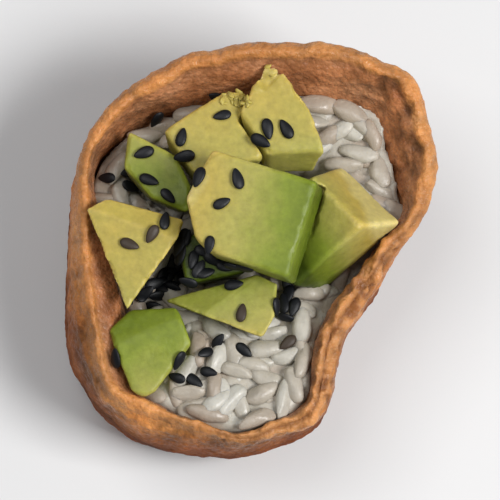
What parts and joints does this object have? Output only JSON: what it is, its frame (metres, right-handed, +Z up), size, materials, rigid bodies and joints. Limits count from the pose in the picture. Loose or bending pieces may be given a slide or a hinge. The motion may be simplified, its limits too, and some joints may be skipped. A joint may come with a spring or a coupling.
{
  "type": "inari sushi",
  "caption": "Open fried tofu pocket filled with sushi rice and heaped with diced avocado; stands upright on its flat foot.",
  "frame": {"origin": "on the surface that the pocket stands on, under the middle of its box", "axes": "+Z up out of the pocket's mouth, +Y towards the side where the skin flares out like a lip, -Y towards its narrow end"},
  "size_m": [0.0566, 0.0618, 0.0372],
  "materials": {
    "tofu_skin": "satin",
    "rice": "satin",
    "avocado": "satin"
  },
  "bodies": {
    "root": {"tofu_pocket": "tofu_skin", "rice": "rice", "avocado_crown": "avocado", "avocado_right": "avocado", "avocado_tip": "avocado", "avocado_back": "avocado", "avocado_green": "avocado", "avocado_wedge": "avocado", "avocado_front": "avocado", "avocado_low": "avocado", "avocado_under": "avocado"}
  },
  "joints": []
}
